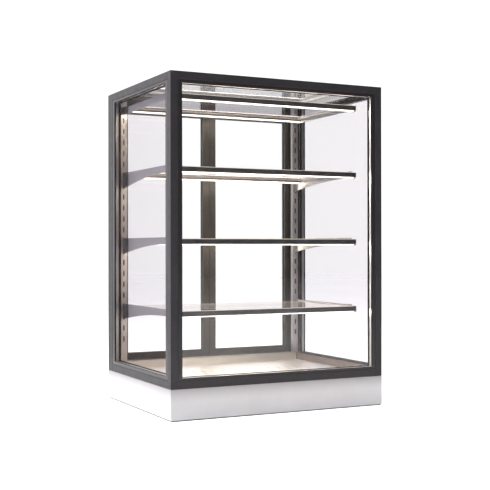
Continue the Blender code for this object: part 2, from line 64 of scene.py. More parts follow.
# ---------------------------------------------------------------- shared sizes, metres
GAP = 0.0003
SEAT = 0.0001                 # a small piece stands this far off the surface it is fixed to
STRIP_INSET, STRIP_WIDTH, STRIP_HEIGHT, STRIP_CROWN = 0.005, 0.010, 0.0027, 0.0008
CAP_LENGTH, CAP_LIP, CAP_CORNER, CAP_CHAMFER = 0.0014, 0.0005, 0.0012, 0.0004
HOOK_BLOCK_FRONT = 0.168      # the brackets turn darker from here rearwards, in y

# Places with painted shade in another colour, x counting outwards both ways: painted dark shade inside the
# uprights' channels and the plinth, a painted dark reflection on the tray's side upstands, and a painted
# shadow round the slotted panel
CHANNEL_PAINTED_SHADE = {0: (0.2784, 0.2971), 1: (0.1966, 0.23)}
SIDE_UPSTAND_PAINTED_REFLECTION = {0: (0.2872, 0.30), 2: (0.089, 0.12)}
PLINTH_INSIDE_PAINTED_SHADE = {0: (0.0, 0.3185), 1: (-0.2410, 0.2410)}
PANEL_PAINTED_SHADOW = {0: (0.0, 0.2735), 1: (-0.2015, 0.146), 2: (0.087, 0.0885)}

SEALANT_WIDTH = 0.0028        # black sealant on a spacer's visible face, beside the inner pane
INNER_PRINT = 0.0016          # the inner pane's black border reaches this far past the outer pane's

# Contact pins of the power inlet: x and z from its centre, half width and half height, root and tip in y
PINS = ((-0.0055, -0.0135), (0.0055, -0.0135), (0.0, -0.0085))
PIN_HALF_W, PIN_HALF_H, PIN_ROOT, PIN_TIP, PIN_CHAMFER = 0.001, 0.002, 0.2268, 0.2400, 0.0004
INLET_SCREW, INLET_SCREW_INSET = 0.0021, 0.0032       # radius, and distance from the flange's ends

# Lamp supply: its ears' length and thickness, screws' radius and inset, and cable gland
EAR, FOOT, DRIVER_SCREW, DRIVER_SCREW_INSET = 0.012, 0.003, 0.0032, 0.012
GLAND_RADIUS, GLAND_GROOVE, GLAND_PITCH, GLAND_RIBS, GLAND_DROP = 0.0065, 0.0056, 0.0022, 4, 0.011

# Finger guard of the fan: radius of each ring, of the wire, and half the length of the crossed wires
GUARD_RINGS, GUARD_WIRE, GUARD_REACH = (0.014, 0.025, 0.036, 0.047, 0.0565), 0.0008, 0.074

# Louvres in the plinth's rear wall: how many, the first one's place, their pitch and their size
LOUVRE_COUNT, LOUVRE_FIRST, LOUVRE_PITCH, LOUVRE_SIZE = 12, (-0.220, 0.041), 0.012, (0.005, 0.036)

SHELVES = ("shelf_1", "shelf_2", "shelf_3", "canopy")
SIDES = (("left", -1), ("right", 1))

# Spacer aluminium tones: the side and top units' bars are the same metal with a darker painted shade
SPACER_TONES_WITH_PAINTED_SHADE = {"front": ((0.62, 0.61, 0.60), (0.93, 0.92, 0.90)),
                "other": ((0.28, 0.27, 0.265), (0.40, 0.39, 0.38))}

CLEAR, WHITE = (0.996, 0.996, 0.996), (1.0, 1.0, 1.0)
SIDE_TINT, SIDE_SHINE = (0.987, 0.980, 0.988), (0.10, 0.10, 0.10)
# The shelf and canopy glass edges carry a painted glow of lamp light
LEVEL_GLASS = {"tint": (0.985, 0.98, 0.985), "shine": (0.9, 0.88, 0.9), "facing_reflectance": 0.03,
               "edge": (0.5, 0.52, 0.5), "painted_edge_glow": 0.6}

# Each glazing unit: its axis, the way into the case along it, its panes' tint and shine, and how strongly
# they reflect at a slant
GLAZING = {
    "front": (1, 1, CLEAR, WHITE, 1.0),
    "left": (0, 1, SIDE_TINT, SIDE_SHINE, 0.35),
    "right": (0, -1, SIDE_TINT, SIDE_SHINE, 0.35),
    "top": (2, -1, CLEAR, WHITE, 1.0),
}


# ================================================================ node helpers
def link(tree, output, socket):
    tree.links.new(output, socket)


def add(tree, kind, **settings):
    """A new node, with its attributes and input sockets set by name."""
    made = tree.nodes.new(kind)
    for name, value in settings.items():
        label = name.replace("_", " ").title()
        if label in made.inputs:
            made.inputs[label].default_value = value
        else:
            setattr(made, name, value)
    return made


def math(tree, operation, first, second=0.0, third=0.0):
    """A Math node whose inputs are outputs of other nodes, or numbers."""
    made = tree.nodes.new("ShaderNodeMath")
    made.operation = operation
    for socket, value in zip(made.inputs, (first, second, third)):
        if isinstance(value, (int, float)):
            socket.default_value = value
        else:
            link(tree, value, socket)
    return made.outputs[0]


def position(tree, stretch=(1, 1, 1)):
    """The place on the object, in metres, with each axis scaled."""
    place = tree.nodes.new("ShaderNodeTexCoord")
    scaled = tree.nodes.new("ShaderNodeMapping")
    scaled.inputs["Scale"].default_value = stretch
    link(tree, place.outputs["Object"], scaled.inputs["Vector"])
    return scaled.outputs["Vector"]


def component(tree, vector, index):
    split = tree.nodes.new("ShaderNodeSeparateXYZ")
    link(tree, vector, split.inputs[0])
    return split.outputs[index]


def noise(tree, vector, scale, detail=3.0, roughness=0.55):
    made = add(tree, "ShaderNodeTexNoise", scale=scale, detail=detail, roughness=roughness)
    link(tree, vector, made.inputs["Vector"])
    return made.outputs["Fac"]


def spread(tree, value, low, high, new_low, new_high):
    """A value mapped from one range to another, and held inside it."""
    made = tree.nodes.new("ShaderNodeMapRange")
    for socket, number in zip(list(made.inputs)[1:5], (low, high, new_low, new_high)):
        socket.default_value = number
    link(tree, value, made.inputs[0])
    return made.outputs[0]


def mix_colour(tree, share, first, second):
    made = tree.nodes.new("ShaderNodeMix")
    made.data_type = "RGBA"
    link(tree, share, made.inputs["Factor"])
    for socket, value in ((made.inputs[6], first), (made.inputs[7], second)):
        if isinstance(value, tuple):
            socket.default_value = (*value, 1)
        else:
            link(tree, value, socket)
    return made.outputs[2]


def bump(tree, shader, height, distance, strength=1.0):
    made = add(tree, "ShaderNodeBump", strength=strength, distance=distance)
    link(tree, height, made.inputs["Height"])
    link(tree, made.outputs["Normal"], shader.inputs["Normal"])


def principled(name, colour, roughness, metallic=0.0):
    material = bpy.data.materials.new(name)
    material.use_nodes = True
    tree = material.node_tree
    shader = tree.nodes["Principled BSDF"]
    shader.inputs["Base Color"].default_value = (*colour, 1)
    shader.inputs["Roughness"].default_value = roughness
    shader.inputs["Metallic"].default_value = metallic
    return material, tree, shader


# ================================================================ materials
def powder_coat(name, low, high, roughness, grain=700.0, depth=0.00004):
    """Sprayed powder: a fine orange peel, and a tone that drifts slightly over the surface."""
    material, tree, shader = principled(name, high, roughness)
    fine = noise(tree, position(tree), grain, 2.0)
    broad = noise(tree, position(tree), 9.0, 4.0)
    link(tree, mix_colour(tree, spread(tree, broad, 0.3, 0.7, 0, 1), low, high), shader.inputs["Base Color"])
    link(tree, spread(tree, noise(tree, position(tree), 60.0), 0.3, 0.7, roughness - 0.05, roughness + 0.07),
         shader.inputs["Roughness"])
    bump(tree, shader, fine, depth, 0.6)
    return material


def brushed_metal(name, low, high, roughness, stretch):
    """Rolled and brushed metal: fine lines along one axis, with soft cloudy stains."""
    material, tree, shader = principled(name, high, roughness, 1.0)
    streaks = noise(tree, position(tree, stretch), 900.0, 3.0, 0.7)
    clouds = noise(tree, position(tree), 14.0, 4.0)
    tone = math(tree, "ADD", math(tree, "MULTIPLY", streaks, 0.6), math(tree, "MULTIPLY", clouds, 0.4))
    link(tree, mix_colour(tree, spread(tree, tone, 0.35, 0.65, 0, 1), low, high), shader.inputs["Base Color"])
    link(tree, spread(tree, streaks, 0.3, 0.7, roughness - 0.06, roughness + 0.08),
         shader.inputs["Roughness"])
    bump(tree, shader, streaks, 0.00003, 0.5)
    return material


def within(tree, limits):
    """1 where each coordinate named in limits is between its two numbers. X counts outwards both ways."""
    inside = None
    for axis, (low, high) in limits.items():
        place = component(tree, position(tree), axis)
        if axis == 0:
            place = math(tree, "ABSOLUTE", place)
        offset = math(tree, "ABSOLUTE", math(tree, "SUBTRACT", place, (low + high) / 2))
        here = math(tree, "LESS_THAN", offset, (high - low) / 2)
        inside = here if inside is None else math(tree, "MULTIPLY", inside, here)
    return inside


def shaded(material, mask, colour, metallic=0.0):
    """The same material with another colour where mask(tree) is 1."""
    tree = material.node_tree
    shader = tree.nodes["Principled BSDF"]
    share = mask(tree)
    base = shader.inputs["Base Color"].links[0].from_socket
    link(tree, mix_colour(tree, share, base, colour), shader.inputs["Base Color"])
    link(tree, spread(tree, share, 0, 1, shader.inputs["Metallic"].default_value, metallic),
         shader.inputs["Metallic"])
    return material


def face_mask(tree, axis):
    """1 on the faces that look along an axis, 0 on the others."""
    place = tree.nodes.new("ShaderNodeTexCoord")
    along = math(tree, "ABSOLUTE", component(tree, place.outputs["Normal"], axis))
    return math(tree, "GREATER_THAN", along, 0.9)


def sight_line(spacer, axis):
    """The clear view inside a spacer: for each of the two axes across it, the lowest and highest place."""
    verts = [v.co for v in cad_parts[spacer].data.vertices]
    view = {}
    for across in range(3):
        if across != axis:
            places = sorted({round(v[across], 4) for v in verts})
            view[across] = (places[1], places[-2])
    return view


def outside_mask(tree, view, spare=0.0):
    """1 outside a rectangle of places, 0 inside it. spare moves its edges inwards."""
    beyond = None
    for across, (low, high) in view.items():
        place = component(tree, position(tree), across)
        offset = math(tree, "ABSOLUTE", math(tree, "SUBTRACT", place, (low + high) / 2))
        here = math(tree, "GREATER_THAN", offset, (high - low) / 2 - spare)
        beyond = here if beyond is None else math(tree, "MAXIMUM", beyond, here)
    return beyond


def glass(name, axis, tint=CLEAR, shine=WHITE, facing_reflectance=0.02, slant_share=1.0,
          edge=(0.20, 0.27, 0.25), painted_edge_glow=0.0, view=None, spare=0.0, single=False, below=None):
    """A thin clear pane. Faces across its axis are clear and reflect at a slant, and its edges are greenish,
    with a painted glow of lamp light on them.
    view is the clear rectangle of a pane with a black printed border, which spare makes smaller. A single
    pane reflects once for its two faces, and only from faces under the height below where it is given."""
    material, tree, shader = principled(name, edge, 0.12)
    # A painted glow of lamp light on the edges
    shader.inputs["Emission Color"].default_value = (*LED_COLOUR, 1)
    shader.inputs["Emission Strength"].default_value = painted_edge_glow
    grain = noise(tree, position(tree), 120.0, 2.0)
    link(tree, mix_colour(tree, grain, tuple(0.8 * c for c in edge), tuple(1.2 * c for c in edge)),
         shader.inputs["Base Color"])
    facing = add(tree, "ShaderNodeLayerWeight", blend=0.5).outputs["Facing"]
    slant = math(tree, "POWER", facing, 5.0)
    share = math(tree, "MULTIPLY_ADD", slant, slant_share * (1.0 - facing_reflectance), facing_reflectance)
    if single:
        share = math(tree, "DIVIDE", math(tree, "MULTIPLY", share, 2.0), math(tree, "ADD", share, 1.0))
        outside = math(tree, "SUBTRACT", 1.0, add(tree, "ShaderNodeNewGeometry").outputs["Backfacing"])
        share = math(tree, "MULTIPLY", share, outside)
    if below is not None:
        under = math(tree, "LESS_THAN", component(tree, position(tree), 2), below)
        share = math(tree, "MULTIPLY", share, under)
    clear = add(tree, "ShaderNodeBsdfTransparent", color=(*tint, 1))
    mirror = add(tree, "ShaderNodeBsdfGlossy", color=(*shine, 1))
    mirror.inputs["Roughness"].default_value = 0.0
    pane = tree.nodes.new("ShaderNodeMixShader")
    link(tree, share, pane.inputs[0])
    link(tree, clear.outputs[0], pane.inputs[1])
    link(tree, mirror.outputs[0], pane.inputs[2])
    face = pane
    if view:
        print_coat = tree.nodes.new("ShaderNodeBsdfPrincipled")
        print_coat.inputs["Roughness"].default_value = 0.22
        dust = noise(tree, position(tree), 300.0)
        link(tree, mix_colour(tree, dust, (0.017, 0.015, 0.017), (0.026, 0.023, 0.026)),
             print_coat.inputs["Base Color"])
        face = tree.nodes.new("ShaderNodeMixShader")
        link(tree, outside_mask(tree, view, spare), face.inputs[0])
        link(tree, pane.outputs[0], face.inputs[1])
        link(tree, print_coat.outputs[0], face.inputs[2])
    whole = tree.nodes.new("ShaderNodeMixShader")
    link(tree, face_mask(tree, axis), whole.inputs[0])
    link(tree, shader.outputs[0], whole.inputs[1])
    link(tree, face.outputs[0], whole.inputs[2])
    link(tree, whole.outputs[0], tree.nodes["Material Output"].inputs["Surface"])
    return material


def spacer_metal(name, node, axis, inwards, low_tone, high_tone):
    """The bar between two panes: black butyl against the glass, perforated aluminium in between, in the tones
    given, which carry a darker painted shade on all but the front unit.
    inwards is the sign of the way into the case along the unit's axis, where the sealant is wider."""
    material, tree, shader = principled(name, (0.9, 0.89, 0.88), 0.3)
    holes = add(tree, "ShaderNodeTexVoronoi", scale=320.0)
    link(tree, position(tree), holes.inputs["Vector"])
    pits = spread(tree, holes.outputs["Distance"], 0.10, 0.16, 0, 1)
    metal = mix_colour(tree, pits, low_tone, high_tone)
    low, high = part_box(node)
    inner = high[axis] if inwards > 0 else low[axis]
    depth = math(tree, "MULTIPLY", math(tree, "SUBTRACT", component(tree, position(tree), axis), inner),
                 -float(inwards))
    sealant = math(tree, "MAXIMUM", face_mask(tree, axis), math(tree, "LESS_THAN", depth, SEALANT_WIDTH))
    link(tree, mix_colour(tree, sealant, metal, (0.008, 0.007, 0.008)), shader.inputs["Base Color"])
    link(tree, spread(tree, sealant, 0, 1, 0.95, 0.0), shader.inputs["Metallic"])
    return material


def bracket_paint(name, dark_from):
    """Grey paint on the arms, turning darker on the hook block at the upright."""
    material, tree, shader = principled(name, (0.4, 0.4, 0.4), 0.45)
    broad = noise(tree, position(tree), 25.0, 4.0)
    arm = mix_colour(tree, broad, (0.25, 0.245, 0.255), (0.30, 0.295, 0.305))
    block = mix_colour(tree, broad, (0.045, 0.042, 0.042), (0.085, 0.08, 0.08))
    back = spread(tree, component(tree, position(tree), 1), dark_from, dark_from + 0.0004, 0, 1)
    link(tree, mix_colour(tree, back, arm, block), shader.inputs["Base Color"])
    bump(tree, shader, noise(tree, position(tree), 900.0, 2.0), 0.00003, 0.5)
    return material


def glowing(name):
    """A frosted diffuser over a row of light chips, a little brighter over each chip."""
    material, tree, shader = principled(name, (0.9, 0.88, 0.84), 0.4)
    along = component(tree, position(tree), 0)
    chips = math(tree, "SINE", math(tree, "MULTIPLY", along, 2 * pi / LED_PITCH))
    ripple = spread(tree, chips, -1, 1, 0.92, 1.08)
    path = tree.nodes.new("ShaderNodeLightPath")
    looked_at = math(tree, "MAXIMUM", path.outputs["Is Camera Ray"], path.outputs["Is Singular Ray"])
    link(tree, mix_colour(tree, looked_at, LED_COLOUR, LED_LOOK), shader.inputs["Emission Color"])
    level = spread(tree, looked_at, 0, 1, LED_STRENGTH, LED_SEEN)
    link(tree, math(tree, "MULTIPLY", ripple, level), shader.inputs["Emission Strength"])
    return material


def plinth_paint():
    """Pale powder coat, with a painted shade that darkens it towards the frame above it, and a dark painted
    shade inside.
    """
    material = powder_coat("plinth_pale", (0.70, 0.69, 0.705), (0.76, 0.75, 0.765), 0.5, 500.0, 0.00003)
    tree = material.node_tree
    shader = tree.nodes["Principled BSDF"]
    base = shader.inputs["Base Color"].links[0].from_socket
    # Painted shade: darker towards the frame above
    near = spread(tree, component(tree, position(tree), 2), 0.046, 0.083, 0, 1)
    painted_shade = math(tree, "MULTIPLY", math(tree, "POWER", near, 1.6), 0.62)
    link(tree, mix_colour(tree, painted_shade, base, (0.19, 0.17, 0.175)), shader.inputs["Base Color"])
    return shaded(material, lambda tree: within(tree, PLINTH_INSIDE_PAINTED_SHADE), (0.07, 0.068, 0.068))


def upright_metal():
    """Anodised aluminium, with a painted shade that makes it near black inside the channel so that the slots
    read.
    """
    metal = brushed_metal("anodised_aluminium", (0.46, 0.44, 0.43), (0.60, 0.575, 0.56), 0.38, (1, 1, 0.02))
    return shaded(metal, lambda tree: within(tree, CHANNEL_PAINTED_SHADE), (0.010, 0.009, 0.009))


def deck_steel():
    """Brushed stainless tray, with a painted dark reflection on the upstands at the sides and a painted
    shadow round the slotted panel.
    """
    metal = brushed_metal("deck_stainless", (0.66, 0.64, 0.61), (0.82, 0.80, 0.77), 0.34, (0.02, 1, 1))
    shaded(metal, lambda tree: within(tree, SIDE_UPSTAND_PAINTED_REFLECTION), (0.20, 0.165, 0.15), 0.6)
    return shaded(metal, lambda tree: within(tree, PANEL_PAINTED_SHADOW), (0.05, 0.045, 0.042))


def moulded_plastic(name, low, high, roughness):
    material, tree, shader = principled(name, high, roughness)
    link(tree, mix_colour(tree, noise(tree, position(tree), 40.0), low, high), shader.inputs["Base Color"])
    bump(tree, shader, noise(tree, position(tree), 1500.0, 1.0), 0.00003, 0.4)
    return material


def make_materials():
    looks = {
        "frame": powder_coat("frame_black", (0.021, 0.018, 0.021), (0.029, 0.026, 0.029), 0.42),
        "profile": powder_coat("profile_black", (0.038, 0.035, 0.038), (0.050, 0.046, 0.050), 0.42),
        "door": powder_coat("door_brown_black", (0.015, 0.013, 0.012), (0.024, 0.021, 0.019), 0.42),
        "plinth": plinth_paint(),
        "deck": deck_steel(),
        "vent": brushed_metal("vent_stainless", (0.78, 0.775, 0.77), (0.90, 0.895, 0.885), 0.36,
                              (0.02, 1, 1)),
        "anodised": upright_metal(),
        "crossbar": brushed_metal("crossbar_aluminium", (0.17, 0.155, 0.15), (0.25, 0.23, 0.22), 0.33,
                                  (0.02, 1, 1)),
        "rod": brushed_metal("pivot_steel", (0.45, 0.44, 0.43), (0.62, 0.61, 0.60), 0.3, (1, 1, 0.05)),
        "bracket": bracket_paint("bracket_grey_paint", HOOK_BLOCK_FRONT),
        "driver": moulded_plastic("driver_white_case", (0.66, 0.66, 0.65), (0.74, 0.74, 0.73), 0.45),
        "plastic": moulded_plastic("black_moulding", (0.014, 0.014, 0.015), (0.024, 0.024, 0.025), 0.45),
        "rubber": moulded_plastic("black_rubber", (0.010, 0.010, 0.010), (0.018, 0.018, 0.018), 0.7),
        "brass": brushed_metal("contact_brass", (0.55, 0.42, 0.2), (0.72, 0.56, 0.3), 0.3, (1, 0.05, 1)),
        "led": glowing("led_diffuser"),
        "door_glass": glass("door_clear_glass", 1),
        "canopy_glass": glass("canopy_clear_glass", 2, **LEVEL_GLASS, single=True,
                              below=sum(corner.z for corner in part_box("canopy_glass")) / 2),
        "shelf_glass": glass("shelf_clear_glass", 2, **LEVEL_GLASS),
    }
    for side, (axis, inwards, tint, shine, slant) in GLAZING.items():
        view = sight_line(f"{side}_glass_spacer", axis)
        for pane, spare in (("outer", 0.0), ("inner", INNER_PRINT)):
            looks[f"{side}_{pane}"] = glass(f"{side}_{pane}_pane", axis, tint, shine, slant_share=slant,
                                            view=view, spare=spare, single=side == "top")
        tones = SPACER_TONES_WITH_PAINTED_SHADE["front" if side == "front" else "other"]
        looks[f"{side}_spacer"] = spacer_metal(f"{side}_spacer_bar", f"{side}_glass_spacer", axis, inwards,
                                               *tones)
    return looks


def dress(node, material, bevel=0.0):
    """A CAD node's finish, and a small rounding of its edges."""
    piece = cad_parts[node]
    piece.data.materials.clear()
    piece.data.materials.append(material)
    if bevel:
        weld = piece.modifiers.new("weld", "WELD")
        weld.merge_threshold = 0.00001
        flat = piece.modifiers.new("flat", "DECIMATE")
        flat.decimate_type = "DISSOLVE"
        flat.angle_limit = radians(0.5)
        rounding = piece.modifiers.new("edges", "BEVEL")
        rounding.width = bevel
        rounding.segments = 2
        rounding.limit_method = "ANGLE"
        rounding.angle_limit = radians(40)
        rounding.harden_normals = True


def dress_cad(looks):
    for level in ("top", "bottom"):
        for side in ("front", "rear", "left", "right"):
            dress(f"{level}_{side}_rail", looks["frame"], 0.0005)
    for post in ("front_left_post", "front_right_post", "rear_left_post", "rear_right_post"):
        dress(post, looks["frame"], 0.0006)
    for side in GLAZING:
        dress(f"{side}_outer_glass", looks[f"{side}_outer"])
        dress(f"{side}_inner_glass", looks[f"{side}_inner"])
        dress(f"{side}_glass_spacer", looks[f"{side}_spacer"])
    for side, _ in SIDES:
        dress(f"{side}_door_frame", looks["door"], 0.0005)
        dress(f"{side}_door_glass", looks["door_glass"])
        dress(f"{side}_door_pivot_rod", looks["rod"])
        dress(f"{side}_upright", looks["anodised"])
    for shelf in SHELVES:
        dress(f"{shelf}_front_profile", looks["profile"], 0.0004)
        dress(f"{shelf}_glass", looks["canopy_glass" if shelf == "canopy" else "shelf_glass"])
        dress(f"{shelf}_rear_crossbar", looks["crossbar"], 0.0005)
        for side, _ in SIDES:
            dress(f"{shelf}_{side}_bracket", looks["bracket"])
    dress("plinth_shell", looks["plinth"])
    dress("deck_tray", looks["deck"])
    dress("vent_panel", looks["vent"])
    dress("led_driver", looks["driver"], 0.001)
    for node in ("fan_housing", "fan_rotor", "power_inlet", "rocker_switch"):
        dress(node, looks["plastic"])


# ================================================================ mesh helpers
def piece_from(name, verts, faces, material, body, smooth=False):
    mesh = bpy.data.meshes.new(name)
    mesh.from_pydata([tuple(v) for v in verts], [], faces)
    work = bmesh.new()
    work.from_mesh(mesh)
    bmesh.ops.remove_doubles(work, verts=work.verts, dist=1e-6)
    bmesh.ops.recalc_face_normals(work, faces=work.faces)
    work.to_mesh(mesh)
    work.free()
    if smooth:
        mesh.shade_smooth()
        mesh.set_sharp_from_angle(angle=radians(35))
    mesh.materials.append(material)
    piece = bpy.data.objects.new(name, mesh)
    bpy.context.scene.collection.objects.link(piece)
    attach(piece, body)
    return piece


def sweep(sections, closed=False):
    """Vertices and faces of a skin over a row of equal sections, capped at its ends unless it is closed."""
    count = len(sections[0])
    verts = [v for section in sections for v in section]
    faces = []
    for k in range(len(sections) if closed else len(sections) - 1):
        a, b = k * count, ((k + 1) % len(sections)) * count
        faces += [(a + i, a + (i + 1) % count, b + (i + 1) % count, b + i) for i in range(count)]
    if not closed:
        faces += [tuple(range(count)), tuple(range(len(verts) - count, len(verts)))]
    return verts, faces


def rectangle_ring(section, half_width, half_height, centre, across, up, out):
    """A section swept round a rectangle with mitred corners. Its points are (outwards in the rectangle's
    plane, along out)."""
    rings = []
    for sx, sy in ((-1, -1), (1, -1), (1, 1), (-1, 1)):
        rings.append([centre + across * sx * (half_width + u) + up * sy * (half_height + u) + out * v
                      for u, v in section])
    return sweep(rings, closed=True)


def turned(profile, centre, axis, steps=24):
    """A profile of (radius, along) points turned about an axis, closed where it meets the axis."""
    axis = Vector(axis).normalized()
    side = axis.orthogonal().normalized()
    other = axis.cross(side)
    verts, faces = [], []
    for k in range(steps):
        turn = 2 * pi * k / steps
        spoke = side * cos(turn) + other * sin(turn)
        verts += [Vector(centre) + spoke * r + axis * h for r, h in profile]
    count = len(profile)
    for k in range(steps):
        a, b = k * count, ((k + 1) % steps) * count
        faces += [(a + i, a + i + 1, b + i + 1, b + i) for i in range(count - 1)]
    return verts, faces


# ================================================================ detail pieces
def add_led_strip(name, node, shelf, looks):
    """A frosted diffuser under a shelf's front profile or rear bar, with its crowned face down."""
    low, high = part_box(node)
    middle = (low.y + high.y) / 2
    top = low.z - GAP
    half = STRIP_WIDTH / 2
    outline = [(middle - half, top), (middle + half, top)]
    steps = 6
    for k in range(steps + 1):
        across = half - STRIP_WIDTH * k / steps
        drop = STRIP_HEIGHT - STRIP_CROWN * (across / half) ** 2
        outline.append((middle + across, top - drop))
    ends = (low.x + STRIP_INSET, high.x - STRIP_INSET)
    verts, faces = sweep([[Vector((x, y, z)) for y, z in outline] for x in ends])
    piece_from(name, verts, faces, looks["led"], shelf, True)


def add_end_caps(shelf, looks):
    """A moulded plug with rounded corners on each end of the front profile."""
    low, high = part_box(f"{shelf}_front_profile")
    bottom = low.z - GAP - STRIP_HEIGHT - CAP_LIP
    for side, sign in SIDES:
        outer = (high.x if sign > 0 else -low.x) + GAP
        sections = []
        for along, shrink in ((0, 0), (CAP_LENGTH - CAP_CHAMFER, 0), (CAP_LENGTH, CAP_CHAMFER)):
            y0, y1 = low.y - CAP_LIP + shrink, high.y - shrink
            z0, z1 = bottom + shrink, high.z + CAP_LIP - shrink
            r = CAP_CORNER
            ring = []
            for cy, cz, start in ((y1 - r, z1 - r, 0), (y0 + r, z1 - r, 90), (y0 + r, z0 + r, 180),
                                  (y1 - r, z0 + r, 270)):
                for k in range(4):
                    turn = radians(start + 30 * k)
                    ring.append(Vector((sign * (outer + along), cy + r * cos(turn), cz + r * sin(turn))))
            sections.append(ring)
        verts, faces = sweep(sections)
        piece_from(f"{shelf}_{side}_end_cap", verts, faces, looks["plastic"], shelf, True)


def add_glass_bead(name, node, axis, sign, looks):
    """A thin black sealing bead round the edge of a pane, in the small step between glass and frame."""
    low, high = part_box(node)
    centre = (low + high) / 2
    half = (high - low) / 2
    out = Vector((0, 0, 0))
    out[axis] = sign
    first, second = [i for i in range(3) if i != axis]
    across, up = [Vector([1.0 if k == i else 0.0 for k in range(3)]) for i in (first, second)]
    face = half[axis]
    section = [(-0.0012, face + 0.00002), (0.00028, face + 0.00002), (0.00028, face + 0.00042),
               (-0.0002, face + 0.0002), (-0.0007, face + 0.0001)]
    verts, faces = rectangle_ring(section, half[first], half[second], centre, across, up, out)
    piece_from(name, verts, faces, looks["rubber"], "case")


def add_beads(looks):
    for side, axis, sign in (("front", 1, -1), ("left", 0, -1), ("right", 0, 1), ("top", 2, 1)):
        add_glass_bead(f"{side}_outer_bead", f"{side}_outer_glass", axis, sign, looks)


def add_door_gaskets(looks):
    """A rubber lip on each face of a door's glass, along the frame's sight edge."""
    for side, _ in SIDES:
        low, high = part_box(f"{side}_door_glass")
        frame_low, frame_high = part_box(f"{side}_door_frame")
        centre = (low + high) / 2
        half = (high - low) / 2
        cover = 0.0058
        for label, sign in (("inner", -1), ("outer", 1)):
            room = abs((frame_high.y if sign > 0 else frame_low.y) - centre.y) - half.y
            tall = min(0.003, room - 0.001)
            base = half.y + 0.00005
            section = [(-cover, base), (-cover + 0.0006, base + 0.6 * tall), (-cover + 0.0018, base + tall),
                       (-cover + 0.0026, base + tall), (-cover + 0.0030, base)]
            verts, faces = rectangle_ring(section, half.x, half.z, centre, Vector((1, 0, 0)),
                                          Vector((0, 0, 1)), Vector((0, sign, 0)))
            piece_from(f"{side}_door_{label}_gasket", verts, faces, looks["rubber"], f"{side}_door",
                       True)


def add_screw(name, centre, axis, radius, looks):
    """A domed screw head with a round drive recess; its flat underside is at the centre."""
    rise = 0.55 * radius
    profile = [(0, 0.35 * rise), (0.42 * radius, 0.35 * rise), (0.50 * radius, rise),
               (0.72 * radius, 0.92 * rise), (0.92 * radius, 0.6 * rise), (radius, 0.2 * rise),
               (radius, 0.0), (0, 0.0)]
    verts, faces = turned(profile, centre, axis, 20)
    piece_from(name, verts, faces, looks["rod"], "case", True)


def add_power_details(looks):
    """Contact pins in the socket, and the two screws that hold the inlet's flange."""
    low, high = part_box("power_inlet")
    middle = (low + high) / 2
    for k, (x, z) in enumerate(PINS):
        sections = []
        for y, shrink in ((PIN_ROOT, 0), (PIN_TIP - 2 * PIN_CHAMFER, 0), (PIN_TIP, PIN_CHAMFER)):
            w, h = PIN_HALF_W - shrink, PIN_HALF_H - shrink
            sections.append([Vector((middle.x + x + u * w, y, middle.z + z + v * h))
                             for u, v in ((-1, -1), (1, -1), (1, 1), (-1, 1))])
        verts, faces = sweep(sections)
        piece_from(f"inlet_pin_{k + 1}", verts, faces, looks["brass"], "case")
    for label, z in (("upper", high.z - INLET_SCREW_INSET), ("lower", low.z + INLET_SCREW_INSET)):
        add_screw(f"inlet_{label}_screw", (middle.x, high.y + SEAT, z), (0, 1, 0), INLET_SCREW, looks)


def add_driver_details(looks):
    """Fixing screws on the lamp supply's ears, and a ribbed cable gland on its end."""
    low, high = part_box("led_driver")
    middle = (low + high) / 2
    foot = low.z + FOOT + SEAT
    for end, x in (("inner", low.x + EAR / 2), ("outer", high.x - EAR / 2)):
        for row, y in (("front", low.y + DRIVER_SCREW_INSET), ("rear", high.y - DRIVER_SCREW_INSET)):
            add_screw(f"driver_{end}_{row}_screw", (x, y, foot), (0, 0, 1), DRIVER_SCREW, looks)
    profile = [(0, 0.0), (GLAND_RADIUS, 0.0)]
    for k in range(GLAND_RIBS):
        start = 0.0012 + GLAND_PITCH * k
        profile += [(GLAND_RADIUS, start), (GLAND_GROOVE, start + 0.0006), (GLAND_RADIUS, start + 0.0012)]
    profile += [(0.0040, 0.0108), (0.0026, 0.0114), (0, 0.0114)]
    place = (low.x + EAR - SEAT, middle.y, high.z - GLAND_DROP)
    verts, faces = turned(profile, place, (-1, 0, 0), 24)
    piece_from("driver_cable_gland", verts, faces, looks["rubber"], "case", True)


def add_fan_guard(looks):
    """Wire finger guard below the fan: rings tied by two crossed wires."""
    low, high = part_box("fan_housing")
    middle = (low + high) / 2
    ring_centre = Vector((middle.x, middle.y, low.z - 3 * GUARD_WIRE))
    cross_centre = ring_centre + Vector((0, 0, 1.75 * GUARD_WIRE))
    up = Vector((0, 0, 1))
    verts, faces = [], []

    def wire(centre, across):
        """The wire's round section at a place, with its flat across the wire and up."""
        turns = [radians(a) for a in range(0, 360, 45)]
        return [centre + across * GUARD_WIRE * cos(turn) + up * GUARD_WIRE * sin(turn) for turn in turns]

    def append(sections, closed):
        more, skin = sweep(sections, closed)
        start = len(verts)
        verts.extend(more)
        faces.extend(tuple(start + i for i in face) for face in skin)

    steps = 48
    spokes = [Vector((cos(2 * pi * k / steps), sin(2 * pi * k / steps), 0)) for k in range(steps)]
    for radius in GUARD_RINGS:
        append([wire(ring_centre + spoke * radius, spoke) for spoke in spokes], True)
    for direction in (Vector((1, 1, 0)).normalized(), Vector((1, -1, 0)).normalized()):
        across = direction.cross(up)
        append([wire(cross_centre + direction * along, across) for along in (-GUARD_REACH, GUARD_REACH)],
               False)
    piece_from("fan_guard", verts, faces, looks["rod"], "case", True)


